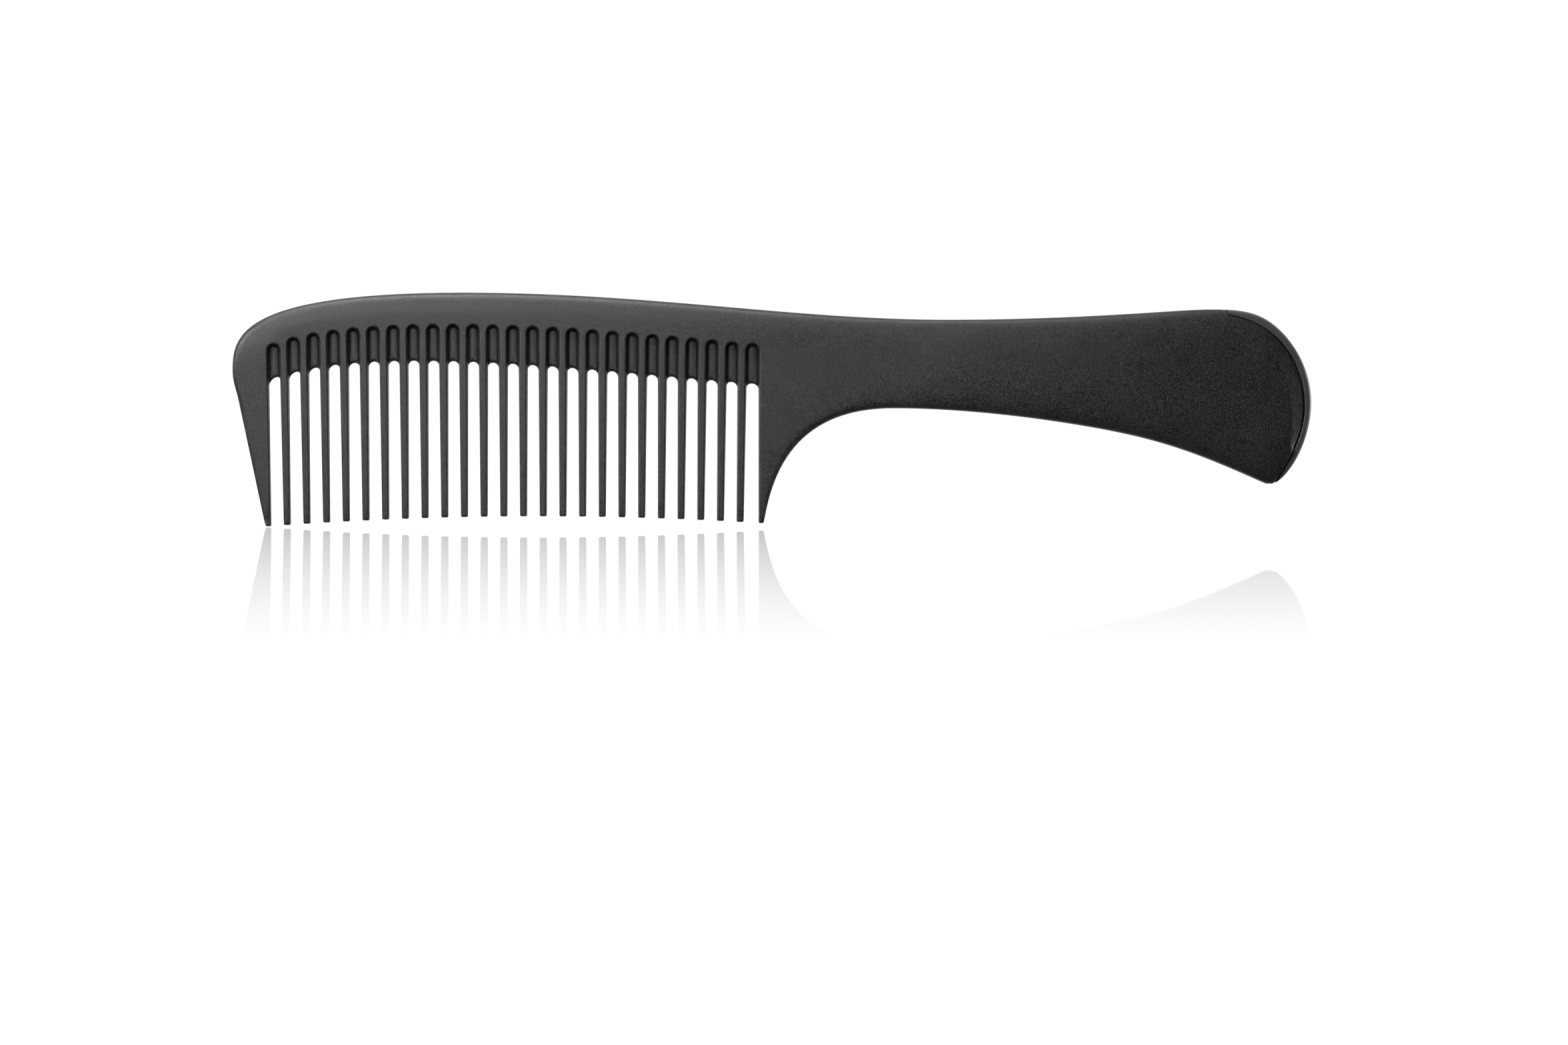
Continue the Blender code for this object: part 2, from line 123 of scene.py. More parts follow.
def distanceTo(points, run):
    # shortest distance from each point to a run of points
    best = np.full(len(points), np.inf)
    for start, step in zip(run[:-1], np.diff(run, axis=0)):
        t = np.clip(((points - start) @ step) / max(step @ step, 1e-12), 0, 1)
        best = np.minimum(best, np.linalg.norm(points - start - t[:, None] * step, axis=1))
    return best


def offsetRun(run, reach, sharpest=0.55):
    # a run moved to its right by an amount per point, mitred at its corners
    step = np.diff(run, axis=0)
    step /= np.linalg.norm(step, axis=1)[:, None]
    normal = np.stack([step[:, 1], -step[:, 0]], axis=1)
    both = np.vstack([normal[:1], normal[:-1] + normal[1:], normal[-1:]])
    both /= np.linalg.norm(both, axis=1)[:, None]
    cosine = np.clip((both * np.vstack([normal, normal[-1:]])).sum(1), sharpest, 1)
    return run + both * (np.asarray(reach) / cosine)[:, None]


outline = {
    "noseHeight": 31.8, "kneeX": 1.2, "kneeHeight": 25.8,
    "apex": 47.0, "saddleFromGuard": 38.5, "saddleHeight": 42.2,
    "heelTopFromEnd": 20.5, "heelTopHeight": 44.3, "shoulderFromEnd": 9.85, "shoulderHeight": 42.6,
    "heelHeight": 25.2, "toeFromEnd": 7.8, "toeHeight": 8.73, "toeLength": 1.9, "toeRise": 0.2,
    "neckFromGuard": 27.5, "neckHeight": 24.1, "bellyFromGuard": 69.7, "bellyHeight": 19.9,
    "frontTip": 7.9, "frontTipWidth": 1.23, "frontRootX": 7.5, "rearTipWidth": 1.1,
}
nose = (0.0, outline["noseHeight"])
neck = (guardX + outline["neckFromGuard"], outline["neckHeight"])
toe = (combLength - outline["toeFromEnd"], outline["toeHeight"])
heel = (combLength, outline["heelHeight"])
heelTopX = combLength - outline["heelTopFromEnd"]
crownLine = smoothRun(
    (nose, 90, 0, 0.137),
    ((outline["apex"], headHeight), 0, 0.934, 0.387),
    ((guardX + outline["saddleFromGuard"], outline["saddleHeight"]), 0, 0.316, 0.517),
    ((heelTopX, outline["heelTopHeight"]), 0, 0.126, 0.408),
    ((combLength - outline["shoulderFromEnd"], outline["shoulderHeight"]), -27.3, 0.305, 0.263),
    (heel, -90, 0.413, 0),
)
bottomLine = smoothRun(
    (neck, 0, 0, 0.314),
    ((guardX + outline["bellyFromGuard"], outline["bellyHeight"]), -10.4, 0.318, 0.383),
    ((toe[0] - outline["toeLength"], toe[1] + outline["toeRise"]), -24.1, 0.4, 0.365),
    (toe, 19.2, 0.4, 0.199),
    (heel, 90, 0.417, 0),
)
rearTip = rearBox[0][2]
sweepLine = smoothRun(((guardX + outline["rearTipWidth"], rearTip), 80.4, 0, 0.248), (neck, 0, 0.6, 0))
tipLeft = outline["frontTip"] - outline["frontTipWidth"]
kneeHeading = -math.degrees(math.atan2(outline["kneeHeight"], tipLeft - outline["kneeX"]))
guardLine = smoothRun(
    (nose, -90, 0, 0.4),
    ((outline["kneeX"], outline["kneeHeight"]), kneeHeading, 0.4, 0.3),
    ((tipLeft, 0.0), kneeHeading, 0.3, 0),
)
topRun = np.vstack([guardLine[::-1], crownLine[1:]])  # front guard's tip, nose, crown, heel
lowRun = np.vstack([sweepLine, bottomLine[1:]])  # rear guard's tip, neck, belly, toe, heel


def topHeight(x):
    return np.interp(x, crownLine[:, 0], crownLine[:, 1])


def bottomHeight(x):
    return np.interp(x, bottomLine[:, 0], bottomLine[:, 1])


def lowHeight(x):
    return np.where(x < neck[0], np.interp(x, sweepLine[:, 0], sweepLine[:, 1]), bottomHeight(x))


# The seam between the moulding and the end cap, and the bevel beside it.
seam = {
    "topFromEnd": 17.0, "topStep": 1.05, "rim": 1.35, "belowHeel": 0.8, "footFromToe": 0.6, "gap": 0.16,
    "rimHalf": 3.0, "bevel": 2.9, "bevelFoot": 15.6, "bevelReach": 8, "leastBevel": 1e-4,
}
capTop, capFoot = combLength - seam["topFromEnd"], toe[0] + seam["footFromToe"]


def seamLine(shift=0.0):
    line = smoothRun(
        ((capTop, topHeight(capTop) - seam["topStep"]), -8, 0, 0.4),
        ((combLength - seam["rim"], heel[1] - seam["belowHeel"]), -90, 0.4, 0.35),
        ((capFoot, float(bottomHeight(capFoot))), -122, 0.3, 0),
        steps=24,
    )
    line[:, 0] += shift
    return line


seamRun = seamLine()
seamTop = seamRun[0, 1]


def bevelWidth(z):
    share = np.clip((seamTop - z) / (seamTop - seam["bevelFoot"]), 0.0, 1.0)
    return seam["bevel"] * np.sqrt(np.sin(math.pi * share).clip(0)) + seam["leastBevel"]


# Half thicknesses. The outer edge of the nose and front guard is crisper than the crown.
section = {
    "spineHalf": -spineBox[0][1], "tipHalf": 1.2, "roundOver": 4.5, "edgeShare": 0.35,
    "noseEnd": 30, "noseFrom": 31, "noseRise": 13, "noseRound": 1.1, "noseShare": 0.66,
    "sweepFrom": 1, "sweepTop": 20, "sweepRound": 0.7, "sweepShare": 0.72,
    "underRound": 1.6, "underShare": 0.5,
    "gripHalf": -handleBox[0][1], "gripEdgeShare": 0.5, "gripPower": 2.6,
    "flankDraft": 0.128, "edgeRadius": 0.22, "edgeStrip": 0.09,
}


def slabHalf(z):
    # half thickness of the head and teeth: one flat taper from the spine down to the tips
    return mix(section["tipHalf"], section["spineHalf"], z / headHeight)


def gripHalf(x):
    return mix(section["spineHalf"], section["gripHalf"], smooth((x - joinX) / (heelTopX - joinX)))


def headDepth(x, z, fromTop, fromLow):
    rise = smooth((z - section["noseFrom"]) / section["noseRise"])
    toCrown = np.where(x < section["noseEnd"], rise, 1.0)
    overWidth = mix(section["noseRound"], section["roundOver"], toCrown)
    overShare = mix(section["noseShare"], section["edgeShare"], toCrown)
    plate = slabHalf(z) * mix(overShare, 1.0, roundOver(fromTop / overWidth))
    upSweep = smooth(z / section["sweepTop"])
    underWidth = mix(section["sweepRound"], section["underRound"], upSweep)
    underShare = mix(section["sweepShare"], section["underShare"], upSweep)
    under = mix(underShare, 1.0, roundOver(fromLow / underWidth))
    return plate * np.where(x > guardX - section["sweepFrom"], under, 1.0)


def gripDepth(x, z):
    low, high = lowHeight(x), topHeight(x)
    share = np.clip((z - low) / np.maximum(high - low, 0.001), 0, 1)
    swell = np.sqrt(np.clip(1 - np.abs(2 * share - 1) ** section["gripPower"], 0, 1))
    return mix(section["gripEdgeShare"], 1.0, swell) * gripHalf(x)


def faceDepth(points):
    # half thickness of the moulding at points given in x and z: head, then handle, then the bevel at the seam
    x, z = points[:, 0], points[:, 1]
    head = headDepth(x, z, distanceTo(points, topRun), distanceTo(points, lowRun))
    depth = mix(head, gripDepth(x, z), smooth((x - joinX) / outline["neckFromGuard"]))
    atHeel = x > capTop - seam["bevelReach"]
    inside = np.where(atHeel, distanceTo(points, seamRun), np.inf)
    bevelled = mix(seam["rimHalf"], depth, np.clip((inside - seam["gap"]) / bevelWidth(z), 0, 1))
    return np.where((depth > seam["rimHalf"]) & (bevelled < depth), bevelled, depth)


# Teeth, and the slots between them: slot 0 is beside the front guard and the last one beside the rear guard.
teeth = {
    "rootWidth": 1.9, "tipWidth": 1.5, "tipRound": 0.3, "leastRound": 0.05, "tipRise": 0.6, "join": 0.3,
    "archRise": 1.0, "archSteps": 13, "middleHeight": 20, "frontBand": 6.1, "rearBand": 7.1,
    "pocketRound": 1.4, "pocketTurns": 15, "wallFrom": 0.1, "wallBlend": 1.1,
    "belowFoot": 0.15, "aboveFoot": 0.2, "flankPoints": 6, "wallPoints": 8, "floorPoints": 5,
}
lastSlot = len(toothNames)


def toothLine(name):
    # centre of one tooth at its root and at its tip, from the frame's own node
    co = np.array([v.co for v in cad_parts[name].data.vertices]) * perMetre
    co[:, 0] -= noseX * perMetre
    high, low = co[:, 2].max(), co[:, 2].min()
    top, bottom = co[co[:, 2] > high - 0.1], co[co[:, 2] < low + 0.1]
    rootX, tipX = (top[:, 0].min() + top[:, 0].max()) / 2, (bottom[:, 0].min() + bottom[:, 0].max()) / 2
    return rootX, high + teeth["join"], tipX, low


toothLines = [toothLine(name) for name in toothNames]
frontRoot, rearRoot = frontBox[1][2] + teeth["join"], rearBox[1][2] + teeth["join"]


def toothEdge(index, side, z):
    # x of one flank of a tooth on the parting plane; -1 is the front guard and lastSlot the rear guard
    if index < 0:
        return mix(outline["frontTip"], outline["frontRootX"], z / frontRoot)
    if index == lastSlot:
        return guardX + 0 * z
    rootX, rootZ, tipX, tipZ = toothLines[index]
    share = (z - tipZ) / (rootZ - tipZ)
    half = mix(teeth["tipWidth"], teeth["rootWidth"], np.clip(share, 0, 1)) / 2
    return mix(tipX, rootX, share) + side * half


def tipHeight(index):
    if index < 0:
        return 0.0
    return rearTip if index == lastSlot else toothLines[index][3]


def tipHalf(index):
    return slabHalf(tipHeight(index))


def slotSides(slot, z):
    return toothEdge(slot - 1, 1, z), toothEdge(slot, -1, z)


def slotFeet(slot):
    # heights at which the arched web edge leaves the left and right flanks of a slot
    left = frontRoot if slot == 0 else toothLines[slot - 1][1]
    right = rearRoot if slot == lastSlot else toothLines[slot][1]
    return left, right


def pocketTop(x):
    share = np.clip((x - outline["frontRootX"]) / (guardX - outline["frontRootX"]), 0, 1)
    return topHeight(x) - mix(teeth["frontBand"], teeth["rearBand"], share)


# Seven rings run round the whole moulding, one inside the other. Ring 0 is the silhouette on the parting
# plane and the last lies on the flat of the face. Each row has one value for each ring.
rings = {
    "outer": (0, 0.03, 0.1, 0.25, 0.6, 1.0, 1.5),
    "share": (0, 0.62, 0.93, 1, 1, 1, 1),
    "tip": (0, 0.04, 0.1, 0.2, 0.32, 0.45, 0.55),
    "wall": (0, 0.07, 0.22, 0.31, 0.41, 0.52, 0.61),  # the pocket's wall leans more than the flank below it
    "wear": (0.6, 0.8, 1.0, 1.0, 0.6, 0.15, 0.0),
}
nearTurn, farTurn = 0.134, 0.5  # 1 - cos of 30 and of 60 degrees, for the small radius on an edge


def flankOffset(k, half):
    # how far ring k lies inside the flank's parting line where the half thickness is half
    r = section["edgeRadius"]
    draft = section["flankDraft"] * (half - r)
    offsets = (0, 0.5 * draft, draft, draft + nearTurn * r, draft + farTurn * r, draft + r)
    return (*offsets, draft + r + section["edgeStrip"])[k]


def ringDepth(k, half):
    r = section["edgeRadius"]
    return (0 * half, 0.5 * (half - r), half - r, half - farTurn * r, half - nearTurn * r, half, half)[k]


def slotRun(slot, k, offset=None, start=None):
    # ring k of a slot, up its left side, round the pocket's top and down its right side
    # with an offset it is a line on the pocket's floor instead, from a start above the web's foot
    feet = slotFeet(slot)
    lowLeft, lowRight = tipHeight(slot - 1) + teeth["tipRise"], tipHeight(slot) + teeth["tipRise"]
    middle = sum(slotSides(slot, feet[0])) / 2
    crest = float(pocketTop(middle)) - teeth["pocketRound"]

    def side(which, z):
        x = slotSides(slot, z)[which]
        above = smooth((z - feet[which] + teeth["wallFrom"]) / teeth["wallBlend"])
        reach = mix(flankOffset(k, slabHalf(z)), rings["wall"][k], above) if offset is None else offset
        return x - reach if which == 0 else x + reach

    if offset is None:
        flanks, walls = teeth["flankPoints"], teeth["wallPoints"]
        ups = [*np.linspace(lowLeft, feet[0] - teeth["belowFoot"], flanks)]
        ups += [*np.linspace(feet[0] + teeth["aboveFoot"], crest, walls)]
        downs = [*np.linspace(crest, feet[1] + teeth["aboveFoot"], walls)]
        downs += [*np.linspace(feet[1] - teeth["belowFoot"], lowRight, flanks)]
    else:
        ups = np.linspace(feet[0] + start, crest, teeth["floorPoints"])
        downs = np.linspace(crest, feet[1] + start, teeth["floorPoints"])
    left = [(side(0, z), z) for z in ups]
    right = [(side(1, z), z) for z in downs]
    a, b = left[-1][0], right[0][0]
    centre, radius = (a + b) / 2, (b - a) / 2
    turns = np.linspace(math.pi, 0, teeth["pocketTurns"])[1:-1]
    arc = [(centre + radius * math.cos(turn), crest + radius * math.sin(turn)) for turn in turns]
    return left + arc + right


def archRun(slot, lift, keep):
    # the web's arched lower edge, lifted by an amount, between the flanks less a margin
    leftFoot, rightFoot = slotFeet(slot)
    left, right = slotSides(slot, leftFoot)[0], slotSides(slot, rightFoot)[1]
    half = (right - left) / 2
    points = []
    for x in np.linspace(-1, 1, teeth["archSteps"]):
        turn = math.pi / 2 * (1 + x)
        side = -math.cos(turn) * (half - keep)
        rise = math.sqrt(max(0.0, 1 - (side / (half + lift)) ** 2)) * (teeth["archRise"] + lift)
        points.append(((left + right) / 2 + side, mix(leftFoot, rightFoot, (side / half + 1) / 2) + rise))
    return points


def tipRun(index, k, leftGap, rightGap):
    # ring k round the tip of a tooth, from its right side to its left
    z = tipHeight(index)
    left = (tipLeft if index < 0 else toothEdge(index, -1, z)) + leftGap
    right = (guardX + outline["rearTipWidth"] if index == lastSlot else toothEdge(index, 1, z)) - rightGap
    foot = z + rings["tip"][k]
    leftRound = max(teeth["tipRound"] - leftGap, teeth["leastRound"])
    rightRound = max(teeth["tipRound"] - rightGap, teeth["leastRound"])
    cut = 1 - math.sqrt(0.5)  # the middle of a rounded corner
    rightCut, leftCut = cut * rightRound, cut * leftRound
    rightSide = [(right, foot + rightRound), (right - rightCut, foot + rightCut), (right - rightRound, foot)]
    leftSide = [(left + leftRound, foot), (left + leftCut, foot + leftCut), (left, foot + leftRound)]
    return rightSide + leftSide


# The moulding's outer edge from the front guard's tip over the nose, down the seam, and back along the
# underside. Its rings draw together towards the tips of the two guards.
outer = {
    "stride": 1.3, "seamStride": 0.8, "beforeFoot": 0.5, "slimmest": 0.3, "frontTo": 12, "frontHeight": 22,
    "rearFrom": 5, "rearHeight": 16, "aboveTip": 0.6, "keepShare": 0.93,
}
topEnd = capTop - seam["gap"]
crownRun = evenly(topRun[topRun[:, 0] < topEnd], outer["stride"])
crownRun = np.vstack([crownRun, [topEnd, topHeight(topEnd)]])
seamEdge = evenly(seamLine(-seam["gap"]), outer["seamStride"])
footX = seamEdge[-1, 0]
underRun = evenly(lowRun[lowRun[:, 0] < footX - outer["beforeFoot"]][::-1], outer["stride"])
outerRun = np.vstack([crownRun, seamEdge, underRun])
outerX, outerZ = outerRun[:, 0], outerRun[:, 1]


def slimTowardsTip(near, height):
    slim = outer["slimmest"] + (1 - outer["slimmest"]) * outerZ / height
    return np.where(near, slim, 1.0)


outerSlim = np.minimum(
    slimTowardsTip(outerX < outer["frontTo"], outer["frontHeight"]),
    slimTowardsTip((outerX > guardX - outer["rearFrom"]) & (outerX < neck[0]), outer["rearHeight"]),
).clip(outer["slimmest"], 1.0)


def outerRing(k):
    ring = offsetRun(outerRun, rings["outer"][k] * outerSlim)
    third = len(ring) // 3
    keep = np.ones(len(ring), bool)
    keep[:third] = ring[:third, 1] > outer["aboveTip"]
    keep[-len(ring) // 3:] = ring[-len(ring) // 3:, 1] > rearTip + outer["aboveTip"]
    keep &= distanceTo(ring, outerRun) > rings["outer"][k] * outerSlim * outer["keepShare"] - 1e-9
    return ring[keep]


def buildRing(k):
    # one closed ring round the whole moulding, with its depths
    ring = outerRing(k)
    points, depths = [*map(tuple, ring)], [*(faceDepth(ring) * rings["share"][k])]
    guardGap = rings["outer"][k] * outer["slimmest"]
    for slot in range(lastSlot, -1, -1):  # each slot with the tooth on its right
        gap = flankOffset(k, tipHalf(slot))
        tip = tipRun(slot, k, gap, guardGap if slot == lastSlot else gap)
        points += tip
        depths += [ringDepth(k, tipHalf(slot))] * len(tip)
        run = slotRun(slot, k)[::-1]
        if k == 0:  # the silhouette crosses the slot on the web's arch
            middle = sum(slotSides(slot, teeth["middleHeight"])) / 2
            leftFoot, rightFoot = slotFeet(slot)
            rightFlank = [p for p in run if p[1] < rightFoot and p[0] > middle]
            leftFlank = [p for p in run if p[1] < leftFoot and p[0] < middle]
            run = rightFlank + archRun(slot, 0, 0)[::-1] + leftFlank
            depths += [0.0] * len(run)
        else:
            depths += [*ringDepth(k, faceDepth(np.array(run)))]
        points += run
    tip = tipRun(-1, k, guardGap, flankOffset(k, tipHalf(-1)))
    points += tip
    depths += [ringDepth(k, tipHalf(-1))] * len(tip)
    return points, depths


# All the runs are gathered here, and then filled with faces together.
points, depths, edges, wears = [], [], [], []


def addRun(run, depth, closed=False, wear=0.0):
    first = len(points)
    wears.extend([wear] * len(run))
    points.extend((float(x), float(z)) for x, z in run)
    depths.extend(float(d) for d in depth)
    edges.extend((first + n, first + n + 1) for n in range(len(run) - 1))
    if closed:
        edges.append((first + len(run) - 1, first))
    return list(range(first, first + len(run)))


ringIds = [addRun(*buildRing(k), closed=True, wear=wear) for k, wear in enumerate(rings["wear"])]
silhouette = ringIds[0]
print("rings:", len(points), "points")

# Pocket floors: a narrow valley at the foot of the wall, then the web's low rounded bar down to its arched
# edge. A valley line has its offset from the flank, its start above the web's foot and its half thickness.
# A bar line has its lift, its half thickness and its margin from the flanks.
pocket = {
    "valley": (
        (-0.02, 0.55, 0.56), (-0.12, 0.75, 0.47), (-0.22, 1.15, 0.56),
        (-0.30, 1.3, 0.70), (-0.40, 1.55, 0.75),
    ),
    "bar": ((0.08, 0.36, 0.03), (0.25, 0.58, 0.20), (0.5, 0.73, 0.34), (0.65, 0.75, 0.42)),
}
for slot in range(lastSlot + 1):
    for offset, start, depth in pocket["valley"]:
        run = slotRun(slot, 0, offset, start)
        addRun(run, [depth] * len(run))
    for lift, depth, keep in pocket["bar"]:
        run = archRun(slot, lift, keep)
        addRun(run, [depth] * len(run))

# Lines along the crown's round-over, the grip's edges and the bevel, then a grid over the grip's swell.
swell = {
    "crownReaches": (2.2, 3.0, 3.8, 4.6), "crownFrom": 9, "crownAbove": 30, "crownStop": 1.5, "slack": 0.05,
    "underReaches": (2.2, 3.0), "underAbove": 12, "underSeam": 1.6, "gripFrom": 4,
    "gridX": 1.7, "gridZ": 1.6, "gridLow": 10, "gridHeel": 3,
    "fromTop": 5.2, "fromLow": 3.6, "fromSeam": 2.2, "fromBevel": 0.7,
    "bevelShifts": (-0.14, 0.0, 0.14), "bevelLeast": 1.9,
}
for reach in swell["crownReaches"]:
    line = offsetRun(crownRun, np.full(len(crownRun), reach))
    clear = distanceTo(line, topRun) > reach - swell["slack"]
    line = line[(line[:, 0] > swell["crownFrom"]) & (line[:, 1] > swell["crownAbove"]) & clear]
    line = line[line[:, 0] < topEnd - swell["crownStop"]]
    addRun(line, faceDepth(line))
for reach in swell["underReaches"]:
    line = offsetRun(underRun, np.full(len(underRun), reach))
    clear = distanceTo(line, seamRun) > swell["underSeam"]
    line = line[(line[:, 1] > swell["underAbove"]) & (line[:, 0] > guardX + swell["gripFrom"]) & clear]
    addRun(line, faceDepth(line))
broad = bevelWidth(seamEdge[:, 1])
for shift in swell["bevelShifts"]:
    line = offsetRun(seamEdge, broad + shift)[broad > swell["bevelLeast"]]
    addRun(line, faceDepth(line))
gridX = np.arange(guardX + swell["gripFrom"], combLength - swell["gridHeel"], swell["gridX"])
gridZ = np.arange(swell["gridLow"], headHeight, swell["gridZ"])
grid = np.array([(x, z) for x in gridX for z in gridZ])
grid = grid[(grid[:, 1] < topHeight(grid[:, 0])) & (grid[:, 1] > lowHeight(grid[:, 0]))]
grid = grid[(distanceTo(grid, topRun) > swell["fromTop"]) & (distanceTo(grid, lowRun) > swell["fromLow"])]
grid = grid[distanceTo(grid, seamRun) > swell["fromSeam"]]
grid = grid[distanceTo(grid, offsetRun(seamEdge, broad)) > swell["fromBevel"]]
points.extend(map(tuple, grid.tolist()))
wears.extend([0.0] * len(grid))
depths.extend(faceDepth(grid).tolist())

flat, _, faces, origin, _, _ = delaunay_2d_cdt([Vector(p) for p in points], edges, [silhouette], 1, 1e-5)
known = [depths[ids[0]] if ids else None for ids in origin]
worn = [wears[ids[0]] if ids else 0.0 for ids in origin]
for crossing in [n for n, d in enumerate(known) if d is None]:
    # a new point where two lines cross takes the mean of its neighbours
    near = {n for face in faces if crossing in face for n in face if known[n] is not None}
    known[crossing] = sum(known[n] for n in near) / len(near)
print("skin:", len(flat), "points,", len(faces), "faces")

skin = {"weld": 0.000002, "smoothAngle": 35}
vertices = [(noseX + p.x / perMetre, -d / perMetre, p.y / perMetre) for p, d in zip(flat, known)]
mesh = bpy.data.meshes.new("combMoulding")
mesh.from_pydata(vertices, [], [tuple(f) for f in faces])
mesh.attributes.new("edge", "FLOAT", "POINT").data.foreach_set("value", worn)
moulding = bpy.data.objects.new("combMoulding", mesh)
bpy.context.scene.collection.objects.link(moulding)
bpy.context.view_layer.objects.active = moulding
moulding.select_set(True)
mirror = moulding.modifiers.new("backHalf", "MIRROR")
mirror.use_axis = (False, True, False)
mirror.merge_threshold = skin["weld"]
bpy.ops.object.modifier_apply(modifier=mirror.name)
bpy.ops.object.mode_set(mode="EDIT")
bpy.ops.mesh.select_all(action="SELECT")
bpy.ops.mesh.normals_make_consistent(inside=False)
bpy.ops.mesh.select_all(action="DESELECT")
bpy.ops.mesh.select_non_manifold()
bpy.ops.object.mode_set(mode="OBJECT")
print("open edges:", sum(v.select for v in moulding.data.vertices))
bpy.ops.object.shade_smooth_by_angle(angle=math.radians(skin["smoothAngle"]))

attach(moulding, "root")
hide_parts("spine", "front_guard_tooth", "rear_guard_tooth", "handle", *toothNames)

# End cap: a strip that follows the heel outside the seam, bridged through one section after another.
cap = {
    "sections": 90, "stride": 0.5, "slim": 0.05, "tongue": 0.3, "ledge": 0.9, "ledgeShare": 0.4,
    "innerRound": 0.12, "innerLimit": 0.3, "innerTurns": (0.5, 1.05),
    "outerRound": 0.62, "outerLimit": 0.6, "outerTurns": (0.0, 0.35, 0.7, 1.0, 1.25, 1.45),
    "outerTall": 1.6, "outerFoot": 1.75, "smoothAngle": 40,
}
rimFoot = footX + seam["gap"]
heelRun = np.vstack([crownLine[crownLine[:, 0] > capTop], bottomLine[bottomLine[:, 0] > rimFoot][::-1]])
heelRun = evenly(heelRun, cap["stride"])
heelRun = np.vstack([[capTop, topHeight(capTop)], heelRun, [rimFoot, bottomHeight(rimFoot)]])
innerSide, outerSide = resampled(seamRun, cap["sections"]), resampled(heelRun, cap["sections"])
capDepth = np.minimum(faceDepth(innerSide + (outerSide - innerSide) * 0.5), seam["rimHalf"])
capDepth[0] = capDepth[1]


def capSection(width, half):
    # front half of one section, as places across the rim and in depth: tongue, inner edge, flat, outer round
    inner = min(cap["innerRound"], cap["innerLimit"] * width)
    rounded = min(cap["outerRound"], cap["outerLimit"] * width)
    ledge = half - min(cap["ledge"], cap["ledgeShare"] * half)
    front = [(-cap["tongue"], 0), (-cap["tongue"], ledge), (0, ledge), (0, half - inner)]
    front += [(inner * (1 - math.cos(a)), half - inner + inner * math.sin(a)) for a in cap["innerTurns"]]
    front += [(inner, half), (mix(inner, width - rounded, 0.5), half)]
    for a in cap["outerTurns"]:
        across = width - rounded + rounded * math.sin(a)
        front.append((across, half - rounded * cap["outerTall"] * (1 - math.cos(a))))
    return front + [(width, half - rounded * cap["outerFoot"]), (width, 0)]


sections = []
for inside, outside, half in zip(innerSide, outerSide, capDepth):
    reach = np.linalg.norm(outside - inside)
    across = (outside - inside) / max(reach, 1e-6)
    front = capSection(max(reach, cap["slim"]), half)
    loop = [(inside + across * u, -y) for u, y in front]
    loop += [(inside + across * u, y) for u, y in front[-2:0:-1]]
    sections.append([(noseX + p[0] / perMetre, y / perMetre, p[1] / perMetre) for p, y in loop])
around = len(sections[0])
hoops = [(n * around + m, n * around + (m + 1) % around) for n in range(len(sections)) for m in range(around)]
mesh = bpy.data.meshes.new("endCapRim")
mesh.from_pydata([v for loop in sections for v in loop], hoops, [])
capRim = bpy.data.objects.new("endCapRim", mesh)
bpy.context.scene.collection.objects.link(capRim)
bpy.ops.object.select_all(action="DESELECT")
bpy.context.view_layer.objects.active = capRim
capRim.select_set(True)
bpy.ops.object.mode_set(mode="EDIT")
bpy.ops.mesh.select_all(action="SELECT")
bpy.ops.mesh.bridge_edge_loops(type="SINGLE", interpolation="LINEAR")
bpy.ops.mesh.select_all(action="DESELECT")
bpy.ops.mesh.select_non_manifold()
bpy.ops.mesh.fill_holes(sides=0)
bpy.ops.mesh.select_all(action="SELECT")
bpy.ops.mesh.normals_make_consistent(inside=False)
bpy.ops.mesh.select_all(action="DESELECT")
bpy.ops.mesh.select_non_manifold()
bpy.ops.object.mode_set(mode="OBJECT")
openPoints = sum(v.select for v in capRim.data.vertices)
print("end cap:", len(capRim.data.polygons), "faces, open points", openPoints)
bpy.ops.object.shade_smooth_by_angle(angle=math.radians(cap["smoothAngle"]))
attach(capRim, "root")
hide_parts("end_cap")


# Shader maths as expressions: a wrapped socket adds a node for each operator.
class Wire:
    def __init__(self, sheet, socket):
        self.sheet, self.socket = sheet, socket

    def do(self, operation, *values):
        return self.sheet.add("ShaderNodeMath", {"operation": operation}, *values)

    def __add__(self, other):
        return self.do("ADD", self, other)

    def __sub__(self, other):
        return self.do("SUBTRACT", self, other)

    def __rsub__(self, other):
        return self.do("SUBTRACT", other, self)

    def __mul__(self, other):
        return self.do("MULTIPLY", self, other)

    __radd__, __rmul__ = __add__, __mul__

    def clamped(self, low, high):
        return self.sheet.add("ShaderNodeMapRange", {"clamp": True}, self, low, high, 0.0, 1.0)


